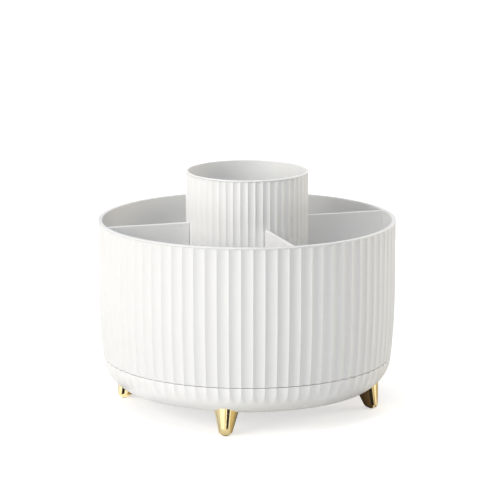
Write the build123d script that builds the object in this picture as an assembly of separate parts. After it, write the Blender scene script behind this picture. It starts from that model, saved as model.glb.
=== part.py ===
"""Rotating makeup organizer: a fluted drum that turns on a footed base.

Millimetres, +Z up. The origin is on the turning axis, at the level of the soft pads
under the feet. Azimuths are counted from the front (-Y) towards +X.
"""

from build123d import *

import math
import os

# Driving dimensions
rim_diameter = 211.0
rim_height = 134.6
overall_height = 169.2
underside_height = 16.3
parting_height = 36.6
cup_diameter = 87.0

# Drum
lip_height = 0.7
lip_overhang = 0.25
lip_edge_radius = 0.5
wall_thickness = 2.9
wall_sweep_height = 50.4
wall_sweep_radius = 500.0
drum_floor_thickness = 2.8
drum_corner_radius = 2.0
skirt_depth = 2.8

# Flutes, carved in one line through the drum wall and the base ring
flute_count = 80
flute_groups = 4
flute_section_radius = 8.8
flute_top_gap = 0.1
flute_end_slope = 45.0
flute_runout_radius = 36.0
flute_runout_angle = 30.0

# Base
parting_gap = 0.4
ring_bend_radius = 25.3
ring_edge_radius = 8.5
base_thickness = 2.4
upstand_height = 2.0
upstand_thickness = 1.8
upstand_root_depth = 5.0
upstand_clearance = 0.5
support_wall_thickness = 2.0
support_wall_inset = 0.6
rib_count = 8
rib_thickness = 1.6
rib_drop = 3.0
rib_azimuth = 22.5

# Centre cup
cup_wall_thickness = 2.0
cup_floor_thickness = 2.0
cup_floor_lift = 3.0
cup_corner_radius = 1.5
cup_lip_height = 0.7
cup_lip_overhang = 0.2
cup_lip_edge_radius = 0.5
cup_flute_count = 52
cup_flute_groups = 2
cup_flute_section_radius = 5.0
cup_flute_top_gap = 0.1
cup_plinth_height = 2.0
cup_plinth_clearance = 0.35

# Dividers
divider_count = 4
divider_azimuth = 18.0
divider_thickness = 1.8
divider_wall_groove = 0.6
divider_floor_groove = 0.8
divider_fit = 0.05
divider_cup_gap = 0.4
divider_drop = 0.2
divider_edge_radius = 0.5

# Turntable bearing
ball_diameter = 6.0
ball_count = 24
ball_pitch_radius = 42.0
ball_clearance = 0.05
plate_gap = 4.0
plate_thickness = 1.6
plate_inner_radius = 33.0
plate_outer_radius = 60.0
plate_edge_chamfer = 0.3
cage_thickness = 1.4
cage_width = 9.4
cage_hole_clearance = 0.12
plate_screw_count = 4
plate_screw_radius = 54.0
lower_screw_azimuth = 45.0
upper_screw_azimuth = 9.0
screw_boss_radius = 4.2

# Centre bolt and its hub
bolt_shoulder_radius = 3.0
bolt_running_clearance = 0.05
bolt_thread_radius = 2.2
bolt_thread_length = 5.0
bolt_head_radius = 6.5
bolt_head_height = 2.6
bolt_head_recess = 1.0
bolt_end_play = 0.3
bolt_socket_width = 4.0
bolt_socket_depth = 1.6
hub_radius = 9.5
hub_gap = 1.0
hub_well_clearance = 0.8
drum_boss_radius = 7.0
drum_boss_height = 3.6

# Feet
foot_count = 4
foot_azimuth = -9.5
foot_top_radius = 86.3
foot_half_width = 8.3
foot_splay = 13.0
foot_taper = 14.0
foot_tip_rounding = 2.8
foot_buried_height = 8.0
spigot_radius = 3.4
spigot_inset = 2.3
spigot_length = 2.5
spigot_side_fit = 0.05
spigot_end_gap = 0.1
foot_boss_radius = 6.6
foot_boss_height = 2.5
pad_radius = 1.8
pad_thickness = 1.0
pad_proud = 0.3

# Screws
screw_shank_radius = 1.5
screw_hole_clearance = 0.1
screw_head_radius = 2.9
screw_head_height = 1.6
screw_head_edge = 0.5
screw_recess_width = 0.9
screw_recess_length = 3.6
screw_recess_depth = 0.9
foot_screw_length = 9.0
lower_screw_length = 8.0
upper_screw_length = 3.4

# Levels and radii that follow from the sizes above
wall_radius = rim_diameter / 2 - lip_overhang
sweep_level = parting_height + wall_sweep_height
drum_low_level = parting_height + parting_gap / 2
drum_underfloor_level = drum_low_level + skirt_depth
drum_floor_level = drum_underfloor_level + drum_floor_thickness
base_top_level = parting_height - parting_gap / 2
base_floor_level = underside_height + base_thickness
ball_radius = ball_diameter / 2
ball_level = drum_underfloor_level - plate_thickness - plate_gap / 2
upper_plate_level = ball_level + plate_gap / 2
lower_plate_level = ball_level - plate_gap / 2 - plate_thickness
drum_boss_level = drum_underfloor_level - drum_boss_height
hub_level = drum_boss_level - hub_gap
bolt_head_level = underside_height + bolt_head_recess + bolt_head_height
cup_wall_radius = cup_diameter / 2 - cup_lip_overhang
cup_bore_radius = cup_wall_radius - cup_wall_thickness
foot_boss_level = base_floor_level + foot_boss_height

upright = (Align.CENTER, Align.CENTER, Align.MIN)
cut_margin = 1.0


def turned(azimuth):
    """Turn that carries a piece from the front round to an azimuth."""
    return Rot(0, 0, azimuth)


def azimuths(count, first):
    """Evenly spaced azimuths round the axis."""
    return [first + 360.0 * index / count for index in range(count)]


def spun(lines):
    """Solid of revolution of a closed half section, drawn as radius against level."""
    edges = [edge for line in lines for edge in line.edges()]
    return revolve(Plane.XZ * make_face(edges), Axis.Z)


def disc(radius, low, high):
    """Plain disc between two levels."""
    return Pos(0, 0, low) * Cylinder(radius, high - low, align=upright)


def ring(inner, outer, low, high):
    """Plain ring between two radii and two levels."""
    return disc(outer, low, high) - disc(inner, low - cut_margin, high + cut_margin)


def point_on(centre, radius, angle):
    """Point of a half section on an arc, its angle measured down from level."""
    return (centre[0] + radius * math.cos(angle), centre[1] - radius * math.sin(angle))


def arc_on(centre, radius, first, last):
    """Arc of a half section between two such angles."""
    return ThreePointArc(
        point_on(centre, radius, first),
        point_on(centre, radius, (first + last) / 2),
        point_on(centre, radius, last),
    )


def edges_at(body, level):
    """Edges of a body whose middle lies at a level."""
    return [edge for edge in body.edges() if abs(edge.center().Z - level) < 0.01]


# The drum wall is upright above the sweep level and bends gently inwards below it.
# Every skin of it is an arc about this one centre.
wall_centre = (wall_radius - wall_sweep_radius, sweep_level)


def wall_angle(level, inset):
    """Angle about the wall's centre at which a skin passes a level."""
    return math.asin((sweep_level - level) / (wall_sweep_radius - inset))


def wall_reach(level, inset):
    """Radius of the drum wall at a level, an inset inside its outer skin."""
    angle = wall_angle(level, inset)
    return point_on(wall_centre, wall_sweep_radius - inset, angle)[0]


def wall_skin(level, inset):
    """Bent part of a skin, from the sweep level down to a level."""
    return arc_on(wall_centre, wall_sweep_radius - inset, 0, wall_angle(level, inset))


def ridge_offset(radius, count, section_radius):
    """How far outside the ridges the centre of a flute's section lies."""
    half_pitch = math.radians(180.0 / count)
    half_width = radius * math.sin(half_pitch)
    rise = math.sqrt(section_radius**2 - half_width**2)
    return radius * math.cos(half_pitch) + rise - radius


def ended(bar, radius, top):
    """Flute bar at the front, ended by a slope that rises outwards."""
    slope = math.radians(flute_end_slope)
    end = Plane(origin=(0, -radius, top), z_dir=(0, math.sin(slope), math.cos(slope)))
    return split(bar, bisect_by=end, keep=Keep.BOTTOM)


def carved(body, bar, count, groups, first):
    """Body with a flute cut at every pitch, in groups of bars that stay apart."""
    places = azimuths(count, first)
    for group in range(groups):
        body = body - [turned(place) * bar for place in places[group::groups]]
    return body


def flute_bar():
    """Round bar, bent like the wall, that cuts one flute at the front."""
    offset = ridge_offset(wall_radius, flute_count, flute_section_radius)
    top = rim_height - lip_height - flute_top_gap
    bend_angle = wall_angle(parting_height, 0)
    bend_radius = wall_sweep_radius + offset
    reach = wall_sweep_radius - flute_runout_radius
    runout_centre = point_on(wall_centre, reach, bend_angle)
    runout_end = bend_angle + math.radians(flute_runout_angle)
    high = (wall_radius + offset, top + flute_section_radius)
    lines = [
        Line(high, (wall_radius + offset, sweep_level)),
        arc_on(wall_centre, bend_radius, 0, bend_angle),
        arc_on(runout_centre, flute_runout_radius + offset, bend_angle, runout_end),
    ]
    path = turned(-90) * (Plane.XZ * Wire([line.edge() for line in lines]))
    start = Plane(origin=path @ 0, z_dir=path % 0)
    bar = sweep(start * Circle(flute_section_radius), path=path)
    return ended(bar, wall_radius, top)


def divider_face(groove, low, inner, high):
    """Upright face of a divider, or of its slot, that reaches into the drum wall."""
    inset = wall_thickness - groove
    lines = [
        wall_skin(low, inset),
        Polyline(
            (wall_radius - inset, sweep_level),
            (wall_radius - inset, high),
            (inner, high),
            (inner, low),
            (wall_reach(low, inset), low),
        ),
    ]
    edges = [edge for line in lines for edge in line.edges()]
    return turned(-90) * (Plane.XZ * make_face(edges))


def divider_inner_radius():
    """Radius at which a divider stops short of the bottom of a cup flute."""
    offset = ridge_offset(cup_wall_radius, cup_flute_count, cup_flute_section_radius)
    valley = cup_wall_radius + offset - cup_flute_section_radius
    return valley + divider_cup_gap


def divider():
    """One divider at the front, with its top edges eased."""
    low = drum_floor_level - divider_floor_groove
    high = rim_height - divider_drop
    groove = divider_wall_groove - divider_fit
    face = divider_face(groove, low, divider_inner_radius(), high)
    panel = extrude(face, amount=divider_thickness / 2, both=True)
    long_edges = [
        edge
        for edge in edges_at(panel, high)
        if abs(edge.center().X) > divider_thickness / 4
    ]
    return fillet(long_edges, divider_edge_radius)


def divider_slot():
    """Slot that a divider stands in, at the front."""
    low = drum_floor_level - divider_floor_groove
    high = rim_height - divider_drop
    inner = divider_inner_radius() - divider_fit
    face = divider_face(divider_wall_groove, low, inner, high)
    return extrude(face, amount=divider_thickness / 2 + divider_fit, both=True)


def drum_turning():
    """Drum as a plain turned shape."""
    lip_level = rim_height - lip_height
    lip_radius = rim_diameter / 2
    bore = wall_radius - wall_thickness
    floor_end = (wall_reach(drum_floor_level, wall_thickness), drum_floor_level)
    skirt_end = (wall_reach(drum_low_level, 0), drum_low_level)
    skirt_bore = wall_reach(drum_low_level, wall_thickness)
    lines = [
        wall_skin(drum_floor_level, wall_thickness),
        Polyline(
            (bore, sweep_level),
            (bore, rim_height),
            (lip_radius, rim_height),
            (lip_radius, lip_level),
            (wall_radius, lip_level),
            (wall_radius, sweep_level),
        ),
        wall_skin(drum_low_level, 0),
        Polyline(
            skirt_end,
            (skirt_bore, drum_low_level),
            (skirt_bore, drum_underfloor_level),
            (0, drum_underfloor_level),
            (0, drum_floor_level),
            floor_end,
        ),
    ]
    body = fillet(edges_at(spun(lines), rim_height), lip_edge_radius)
    corner = [
        edge
        for edge in edges_at(body, drum_floor_level)
        if edge.bounding_box().size.X > rim_diameter / 2
    ]
    return fillet(corner, drum_corner_radius)


def drum_shell():
    """Fluted drum with its floor, bolt boss, cup plinth and divider slots."""
    plinth_radius = cup_bore_radius - cup_plinth_clearance
    plinth_level = drum_floor_level + cup_plinth_height
    body = carved(drum_turning(), flute_bar(), flute_count, flute_groups, 0)
    body = body + disc(plinth_radius, drum_floor_level, plinth_level)
    body = body + disc(drum_boss_radius, drum_boss_level, drum_underfloor_level)
    body = body - disc(
        bolt_thread_radius,
        drum_boss_level - cut_margin,
        drum_boss_level + bolt_thread_length,
    )
    slot = divider_slot()
    body = body - [turned(place) * slot for place in azimuths(divider_count, divider_azimuth)]
    pilot_top = upper_plate_level + upper_screw_length
    pilot = Pos(0, -plate_screw_radius, 0) * disc(
        screw_shank_radius, drum_underfloor_level - cut_margin, pilot_top
    )
    places = azimuths(plate_screw_count, upper_screw_azimuth)
    return body - [turned(place) * pilot for place in places]


def centre_cup():
    """Fluted cup that stands over the plinth, its floor raised inside."""
    top = overall_height
    lip_radius = cup_diameter / 2
    lip_level = top - cup_lip_height
    low = drum_floor_level
    underfloor = low + cup_floor_lift
    floor = underfloor + cup_floor_thickness
    outline = Polyline(
        (0, underfloor),
        (cup_bore_radius, underfloor),
        (cup_bore_radius, low),
        (cup_wall_radius, low),
        (cup_wall_radius, lip_level),
        (lip_radius, lip_level),
        (lip_radius, top),
        (cup_bore_radius, top),
        (cup_bore_radius, floor),
        (0, floor),
        (0, underfloor),
    )
    body = spun([outline])
    body = fillet(edges_at(body, top), cup_lip_edge_radius)
    body = fillet(edges_at(body, floor), cup_corner_radius)
    offset = ridge_offset(cup_wall_radius, cup_flute_count, cup_flute_section_radius)
    flute_top = lip_level - cup_flute_top_gap
    bar_top = flute_top + cup_flute_section_radius
    bar = Pos(0, -(cup_wall_radius + offset), 0) * disc(
        cup_flute_section_radius, low - cut_margin, bar_top
    )
    bar = ended(bar, cup_wall_radius, flute_top)
    return carved(body, bar, cup_flute_count, cup_flute_groups, divider_azimuth)


def ring_arcs():
    """Centres of the two bends of the base ring, and the angle where they meet."""
    angle = wall_angle(base_top_level, 0)
    high = wall_sweep_radius - ring_bend_radius
    bend_centre = point_on(wall_centre, high, angle)
    reach = ring_bend_radius - ring_edge_radius
    drop = bend_centre[1] - ring_edge_radius - underside_height
    meeting = math.asin(drop / reach)
    return bend_centre, point_on(bend_centre, reach, meeting), meeting


def base_form():
    """Outside of the base ring, filled up to its top."""
    bend_centre, edge_centre, meeting = ring_arcs()
    angle = wall_angle(base_top_level, 0)
    top = point_on(bend_centre, ring_bend_radius, angle)
    lines = [
        arc_on(bend_centre, ring_bend_radius, angle, meeting),
        arc_on(edge_centre, ring_edge_radius, meeting, math.pi / 2),
        Polyline(
            (edge_centre[0], underside_height),
            (0, underside_height),
            (0, base_top_level),
            top,
        ),
    ]
    return spun(lines)


def base_hollow():
    """Room inside the base ring, down to its floor."""
    bend_centre, edge_centre, meeting = ring_arcs()
    bend = ring_bend_radius - base_thickness
    edge = ring_edge_radius - base_thickness
    high = base_top_level + cut_margin
    angle = math.asin((bend_centre[1] - high) / bend)
    lines = [
        arc_on(bend_centre, bend, angle, meeting),
        arc_on(edge_centre, edge, meeting, math.pi / 2),
        Polyline(
            (edge_centre[0], base_floor_level),
            (0, base_floor_level),
            (0, high),
            point_on(bend_centre, bend, angle),
        ),
    ]
    return spun(lines)


def base_inside():
    """Upstand, support walls, hub, bosses and ribs that stand in the base."""
    upstand_outer = wall_reach(drum_low_level, wall_thickness) - upstand_clearance
    upstand_inner = upstand_outer - upstand_thickness
    root_level = base_top_level - upstand_root_depth
    root_outer = wall_reach(base_top_level, base_thickness)
    upstand_level = base_top_level + upstand_height
    inner_wall = plate_inner_radius + support_wall_inset
    outer_wall = plate_outer_radius - support_wall_inset
    pieces = [
        ring(upstand_inner, upstand_outer, root_level, upstand_level),
        ring(upstand_inner, root_outer, root_level, base_top_level),
        ring(inner_wall, inner_wall + support_wall_thickness, underside_height, lower_plate_level),
        ring(outer_wall - support_wall_thickness, outer_wall, underside_height, lower_plate_level),
        disc(hub_radius, underside_height, hub_level),
    ]
    boss = Pos(0, -plate_screw_radius, 0) * disc(
        screw_boss_radius, underside_height, lower_plate_level
    )
    pieces += [turned(place) * boss for place in azimuths(plate_screw_count, lower_screw_azimuth)]
    foot_boss = Pos(0, -(foot_top_radius - spigot_inset), 0) * disc(
        foot_boss_radius, underside_height, foot_boss_level
    )
    foot_boss = foot_boss & base_form()
    pieces += [turned(place) * foot_boss for place in azimuths(foot_count, foot_azimuth)]
    rib_height = lower_plate_level - rib_drop - underside_height
    rib = Pos(0, -root_outer / 2, underside_height) * Box(
        rib_thickness, root_outer, rib_height, align=upright
    )
    rib = rib & base_form()
    pieces += [turned(place) * rib for place in azimuths(rib_count, rib_azimuth)]
    return pieces


def base_shell():
    """Base ring and floor with everything moulded on its inside."""
    form = carved(base_form(), flute_bar(), flute_count, flute_groups, 0)
    body = form - base_hollow() + base_inside()
    head_well = disc(
        bolt_head_radius + hub_well_clearance,
        underside_height - cut_margin,
        bolt_head_level + bolt_end_play,
    )
    bolt_bore = disc(
        bolt_shoulder_radius + bolt_running_clearance,
        underside_height,
        hub_level + cut_margin,
    )
    plate_pilot = Pos(0, -plate_screw_radius, 0) * disc(
        screw_shank_radius,
        lower_plate_level + plate_thickness - lower_screw_length,
        lower_plate_level + cut_margin,
    )
    spigot_hole = Pos(0, -(foot_top_radius - spigot_inset), 0) * disc(
        spigot_radius + spigot_side_fit,
        underside_height - cut_margin,
        underside_height + spigot_length + spigot_end_gap,
    )
    screw_hole = Pos(0, -(foot_top_radius - spigot_inset), 0) * disc(
        screw_shank_radius + screw_hole_clearance,
        underside_height,
        foot_boss_level + cut_margin,
    )
    cuts = [head_well, bolt_bore]
    for place in azimuths(plate_screw_count, lower_screw_azimuth):
        cuts.append(turned(place) * plate_pilot)
    for place in azimuths(foot_count, foot_azimuth):
        cuts.append(turned(place) * spigot_hole)
        cuts.append(turned(place) * screw_hole)
    return body - cuts


def foot():
    """Splayed tapered foot at the front, shaped to the base above it."""
    splay = math.radians(foot_splay)
    taper = math.tan(math.radians(foot_taper))
    above = foot_buried_height / math.cos(splay)
    below = (underside_height + cut_margin) / math.cos(splay)
    frame = Plane(
        origin=(0, -foot_top_radius, underside_height),
        z_dir=(0, -math.sin(splay), -math.cos(splay)),
    )
    cone = Pos(0, 0, -above) * Cone(
        foot_half_width + above * taper,
        foot_half_width - below * taper,
        above + below,
        align=upright,
    )
    body = split(frame * cone, bisect_by=Plane.XY.offset(pad_proud), keep=Keep.TOP)
    body = fillet(edges_at(body, pad_proud), foot_tip_rounding)
    body = body - base_form()
    body = body & disc(rim_diameter, 0, parting_height)
    spigot = Pos(0, -(foot_top_radius - spigot_inset), 0) * disc(
        spigot_radius, underside_height - cut_margin, underside_height + spigot_length
    )
    pilot = Pos(0, -(foot_top_radius - spigot_inset), 0) * disc(
        screw_shank_radius, foot_boss_level - foot_screw_length, parting_height
    )
    recess = Pos(0, -pad_centre_radius(), 0) * disc(pad_radius, 0, pad_thickness)
    return body + spigot - pilot - recess


def pad_centre_radius():
    """Radius of the middle of a foot's sole."""
    drop = underside_height - pad_proud
    return foot_top_radius + drop * math.tan(math.radians(foot_splay))


def foot_pad():
    """Soft pad let into the sole of the front foot."""
    return Pos(0, -pad_centre_radius(), 0) * disc(pad_radius, 0, pad_thickness)


def screw(length):
    """Pan head screw pointing down, the underside of its head at level 0."""
    head = disc(screw_head_radius, 0, screw_head_height)
    head = fillet(edges_at(head, screw_head_height), screw_head_edge)
    slot = Pos(0, 0, screw_head_height - screw_recess_depth) * Box(
        screw_recess_length, screw_recess_width, screw_recess_depth, align=upright
    )
    return head + disc(screw_shank_radius, -length, 0) - slot - Rot(0, 0, 90) * slot


def race_plate(low):
    """Bearing plate with its ball groove, before its screw holes are drilled."""
    plate = ring(plate_inner_radius, plate_outer_radius, low, low + plate_thickness)
    plate = chamfer(plate.edges(), plate_edge_chamfer)
    groove = Pos(0, 0, ball_level) * Torus(ball_pitch_radius, ball_radius + ball_clearance)
    return plate - groove


def drilled_plate(low, first):
    """Bearing plate with its screw holes at their azimuths."""
    hole = Pos(0, -plate_screw_radius, 0) * disc(
        screw_shank_radius + screw_hole_clearance,
        low - cut_margin,
        low + plate_thickness + cut_margin,
    )
    places = azimuths(plate_screw_count, first)
    return race_plate(low) - [turned(place) * hole for place in places]


def ball_cage():
    """Flat ring that keeps the balls spaced."""
    half = cage_thickness / 2
    inner = ball_pitch_radius - cage_width / 2
    outer = ball_pitch_radius + cage_width / 2
    body = ring(inner, outer, ball_level - half, ball_level + half)
    hole = Pos(0, -ball_pitch_radius, 0) * disc(
        ball_radius + cage_hole_clearance,
        ball_level - half - cut_margin,
        ball_level + half + cut_margin,
    )
    return body - [turned(place) * hole for place in azimuths(ball_count, 0)]


def centre_bolt():
    """Shouldered bolt that hangs in the base hub and screws into the drum boss."""
    low = bolt_head_level - bolt_head_height
    socket = Pos(0, 0, low) * extrude(
        RegularPolygon(bolt_socket_width / 2, 6, major_radius=False), amount=bolt_socket_depth
    )
    head = disc(bolt_head_radius, low, bolt_head_level)
    head = fillet(edges_at(head, low), screw_head_edge)
    shoulder = disc(bolt_shoulder_radius, bolt_head_level, drum_boss_level)
    thread_top = drum_boss_level + bolt_thread_length
    thread = disc(bolt_thread_radius, drum_boss_level, thread_top)
    return head + shoulder + thread - socket


def group(pieces):
    """Separate solids kept together as one node."""
    return Compound(children=[solid for piece in pieces for solid in piece.solids()])


def subcomponents():
    """Every subcomponent by name, in its place."""
    foot_places = azimuths(foot_count, foot_azimuth)
    spigot_place = Pos(0, -(foot_top_radius - spigot_inset), foot_boss_level)
    lower_place = Pos(0, -plate_screw_radius, lower_plate_level + plate_thickness)
    upper_place = Pos(0, -plate_screw_radius, upper_plate_level) * Rot(180, 0, 0)
    ball = Pos(0, -ball_pitch_radius, ball_level) * Sphere(ball_radius)
    parts = {
        "drum_shell": drum_shell(),
        "centre_cup": centre_cup(),
        "base_shell": base_shell(),
        "lower_race": drilled_plate(lower_plate_level, lower_screw_azimuth),
        "upper_race": drilled_plate(upper_plate_level, upper_screw_azimuth),
        "ball_cage": ball_cage(),
        "centre_bolt": centre_bolt(),
        "bearing_balls": group([turned(a) * ball for a in azimuths(ball_count, 0)]),
        "foot_screws": group(
            [turned(a) * spigot_place * screw(foot_screw_length) for a in foot_places]
        ),
        "lower_race_screws": group(
            [
                turned(a) * lower_place * screw(lower_screw_length)
                for a in azimuths(plate_screw_count, lower_screw_azimuth)
            ]
        ),
        "upper_race_screws": group(
            [
                turned(a) * upper_place * screw(upper_screw_length)
                for a in azimuths(plate_screw_count, upper_screw_azimuth)
            ]
        ),
    }
    panel = divider()
    for number, place in enumerate(azimuths(divider_count, divider_azimuth), 1):
        parts[f"divider_{number}"] = turned(place) * panel
    leg = foot()
    pad = foot_pad()
    for number, place in enumerate(foot_places, 1):
        parts[f"foot_{number}"] = turned(place) * leg
        parts[f"foot_pad_{number}"] = turned(place) * pad
    return parts


os.makedirs("parts", exist_ok=True)
for name, shape in subcomponents().items():
    export_step(shape, f"parts/{name}.step")
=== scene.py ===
"""Looks of the rotating makeup organizer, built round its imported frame.

Sizes are in millimetres, and levels are counted from the plane the feet stand in.
Azimuths are in degrees, counted from the front towards the right. Lamps and camera
are placed in metres.
"""

import math

import bmesh
import bpy
from mathutils import Matrix, Vector


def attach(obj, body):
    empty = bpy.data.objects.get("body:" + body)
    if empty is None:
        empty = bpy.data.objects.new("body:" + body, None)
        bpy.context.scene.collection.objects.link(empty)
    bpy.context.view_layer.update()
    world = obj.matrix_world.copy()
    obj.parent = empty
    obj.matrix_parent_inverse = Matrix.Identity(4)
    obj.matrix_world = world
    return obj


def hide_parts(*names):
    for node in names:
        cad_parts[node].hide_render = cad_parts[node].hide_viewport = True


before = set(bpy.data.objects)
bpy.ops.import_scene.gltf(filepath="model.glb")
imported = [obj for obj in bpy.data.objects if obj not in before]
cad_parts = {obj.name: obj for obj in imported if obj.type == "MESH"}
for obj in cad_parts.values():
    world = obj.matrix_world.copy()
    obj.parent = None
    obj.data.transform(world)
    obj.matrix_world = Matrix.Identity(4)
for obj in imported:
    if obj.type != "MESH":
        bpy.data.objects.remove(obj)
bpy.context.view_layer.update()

MM = 0.001
TAU = 2 * math.pi

# Roundings that several pieces share, and the steps that each is drawn in
CORNER_EASE = 0.3
EDGE_EASE = 0.2
LIP_ROUNDING = 0.5
ROUNDING_STEPS = 5
# A straight stretch longer than LONG_STRETCH gets a point this far from its rounding
GUARD = 0.35
LONG_STRETCH = 6 * GUARD
# Degrees past which an edge is shaded sharp
SHARP_ANGLE = 38.0
FOOT_SHARP_ANGLE = 50.0

# Drum wall
LIP_RADIUS = 105.46
WALL_RADIUS = 105.25
WALL_THICKNESS = 2.9
RIM_LEVEL = 134.6
LIP_LEVEL = 133.9
LIP_UNDER_EASE = 0.12
SWEEP_LEVEL = 87.0
SWEEP_RADIUS = 500.0
# Levels of the wall's rows between the flutes' top and the sweep
WALL_LEVELS = (118.0, 102.0, SWEEP_LEVEL)
# Rows down the sweep, outside and inside, and how far above the skirt's edge and the
# drum floor they stop
SWEEP_ROWS = 14
SKIRT_CLEAR = 0.6
INNER_SWEEP_ROWS = 9
FLOOR_CLEAR = 4.0

# Drum floor, plinth and skirt
DRUM_LOW = 36.8
DRUM_UNDERFLOOR = 39.6
DRUM_FLOOR = 42.4
FLOOR_ROUNDING = 2.0
PLINTH_RADIUS = 40.95
PLINTH_LEVEL = 44.4
PLINTH_ROUNDING = 0.4
SKIRT_EASE = 0.15
BOSS_RADIUS = 7.0
BOSS_LEVEL = 36.0
THREAD_RADIUS = 2.2
THREAD_LEVEL = 41.0

# Flutes
FLUTES = 80
FLUTE_SECTION = 8.8
FLUTE_TOP = 133.8
RIDGE_EASE = 0.04
# Below RUNOUT_LEVEL the flutes follow a wider bend than the base ring, and so run out
RUNOUT_RADIUS = 36.0
RUNOUT_LEVEL = 36.6
# Places round one flute, as shares of its pitch, closer together beside the ridge
FLUTE_STEPS = (0.0, 0.022, 0.07, 0.19, 0.34, 0.5, 0.66, 0.81, 0.93, 0.978)
# Drops below the flutes' top at which the slope that they run in by is cut
FLUTE_RUN_IN = (0.0, 0.3, 0.6, 0.85, 1.1, 1.4, 2.5)

# Base ring
BASE_TOP = 36.4
PARTING_EASE = 0.35
PARTING_STEPS = 4
BEND_RADIUS = 25.3
# Radians below the parting edge at which the bend meets that edge's rounding
BEND_START = 0.03
BEND_STEPS = 28
INNER_BEND_STEPS = 8
EDGE_RADIUS = 8.5
EDGE_STEPS = 8
INNER_EDGE_STEPS = 6
BASE_THICKNESS = 2.4
UPSTAND_GAP = 0.5
UPSTAND_HEIGHT = 2.0
UPSTAND_THICKNESS = 1.8
UPSTAND_ROOT = 31.4

# Base floor, supports of the lower race, and hub
UNDERSIDE = 16.3
BASE_FLOOR = 18.7
SUPPORT_RADII = (59.4, 35.6)
SUPPORT_THICKNESS = 2.0
SUPPORT_LEVEL = 32.4
HUB_RADIUS = 9.5
HUB_LEVEL = 35.0
BOLT_BORE = 3.05
BOLT_SEAT = 20.2
BOLT_RECESS = 7.3
RECESS_ROUNDING = 0.4

# Ribs and screw bosses inside the base
RIB_COUNT = 8
RIB_AZIMUTH = 22.5
RIB_START = 9.0
RIB_END = 97.8
RIB_LEVEL = 29.4
RIB_THICKNESS = 1.6
RIB_UNDERCUT = 9.0
# How deep the ribs and bosses reach into the floor
FLOOR_SINK = 0.5

# Feet
FOOT_AZIMUTH = -9.5
FOOT_TOP_RADIUS = 86.3
FOOT_HALF_WIDTH = 8.3
FOOT_SPLAY = 13.0
FOOT_TAPER = 14.0
FOOT_SEGMENTS = 128
# How far the cone of a foot goes on above the underside and below the ground, uncut
FOOT_ABOVE = 6.0
FOOT_BELOW = 2.0
FOOT_LEVELS = (4.5, 7.0, 9.5, 12.0, 14.5, 16.2, 17.4, 18.6, 19.8)
FOOT_BURY = 1.2
SOLE_LEVEL = 0.3
SOLE_STEPS = 9
SOLE_ROUNDING = 2.8

# Each ring of screw bosses: boss radius, distance from the axis, top, first azimuth
BOSS_RINGS = (
    (4.2, 54.0, SUPPORT_LEVEL, 45.0),
    (6.6, 84.0, BASE_FLOOR + 2.5, FOOT_AZIMUTH),
)
BOSS_SEGMENTS = 48

# Cup
CUP_LIP_RADIUS = 43.5
CUP_RADIUS = 43.3
CUP_BORE = 41.3
CUP_TOP = 169.2
CUP_LIP_LEVEL = 168.5
CUP_LIP_UNDER_EASE = 0.1
CUP_UNDERFLOOR = 45.4
CUP_FLOOR = 47.4
CUP_FLOOR_ROUNDING = 1.5
CUP_FLUTES = 52
CUP_FLUTE_SECTION = 5.0
CUP_FLUTE_TOP = 168.4
CUP_FLUTE_AZIMUTH = 18.0
# Levels of the rows up the cup's wall
CUP_LEVELS = (DRUM_FLOOR + 0.4, 80.0, 125.0)

# Dividers
DIVIDER_AZIMUTH = 18.0
DIVIDER_THICKNESS = 1.8
DIVIDER_INNER = 42.9
DIVIDER_GROOVE = 0.5
DIVIDER_LOW = 41.7
DIVIDER_TOP = 134.4
DIVIDER_MIDDLE = 110.0
DIVIDER_SWEEP_LOW = 50.0
DIVIDER_SWEEP_ROWS = 6
DIVIDER_COLUMNS = 3
DIVIDER_ROUNDING = 0.5
DIVIDER_ROUNDING_STEPS = 4
# Distance from an eased edge to the nearest row or column of the flat faces
DIVIDER_GUARD = 0.9

# Whites of the mouldings, and the nylon of the ball cage. The mouldings are all one white plastic:
# the drum's white is darker as painted shade, and the cup's is lighter as painted light
DRUM_WHITE_WITH_PAINTED_SHADE = (0.865, 0.865, 0.861, 1.0)
BRIGHT_WHITE = (0.93, 0.93, 0.925, 1.0)
CUP_WHITE_WITH_PAINTED_LIGHT = (0.95, 0.95, 0.945, 1.0)
CAGE_NYLON = (0.20, 0.20, 0.21, 1.0)
DUST_GREY = (0.72, 0.70, 0.67, 1.0)
RUBBED_STEEL = (0.80, 0.80, 0.80, 1.0)
RUBBED_RUBBER = (0.22, 0.21, 0.2, 1.0)

# Gold of the feet: two shades of the plate, the rubbed edges, and smudges
GOLD_DEEP = (0.93, 0.77, 0.42, 1.0)
GOLD_PALE = (0.945, 0.80, 0.48, 1.0)
GOLD_RUBBED = (0.96, 0.88, 0.66, 1.0)
GOLD_SMUDGED = (0.88, 0.71, 0.38, 1.0)
GOLD_ROUGHNESS = 0.065

# Each plastic: colour, roughness, fineness of its grain, shade that its flow drifts to
# as a share of the colour, and drift of its roughness
PLASTICS = {
    # The drum's colour holds painted shade and the cup's holds painted light, next to the one true
    # white of the base and dividers
    "drum_plastic": (DRUM_WHITE_WITH_PAINTED_SHADE, 0.33, 1500.0, 0.99, 0.03),
    "cup_plastic": (CUP_WHITE_WITH_PAINTED_LIGHT, 0.31, 1700.0, 0.99, 0.03),
    "base_plastic": (BRIGHT_WHITE, 0.34, 1500.0, 0.99, 0.03),
    "divider_plastic": (BRIGHT_WHITE, 0.3, 1900.0, 0.99, 0.03),
    "cage_plastic": (CAGE_NYLON, 0.45, 1200.0, 0.85, 0.06),
}

# Each steel: darker shade, lighter shade, roughness, and whether it was turned
STEELS = {
    "race_steel": ((0.42, 0.42, 0.41, 1.0), (0.60, 0.60, 0.59, 1.0), 0.28, True),
    "ball_steel": ((0.55, 0.55, 0.56, 1.0), (0.70, 0.70, 0.70, 1.0), 0.12, False),
    "bolt_steel": ((0.48, 0.47, 0.45, 1.0), (0.64, 0.62, 0.58, 1.0), 0.25, True),
    "screw_steel": ((0.50, 0.50, 0.50, 1.0), (0.66, 0.66, 0.66, 1.0), 0.24, False),
}

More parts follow.
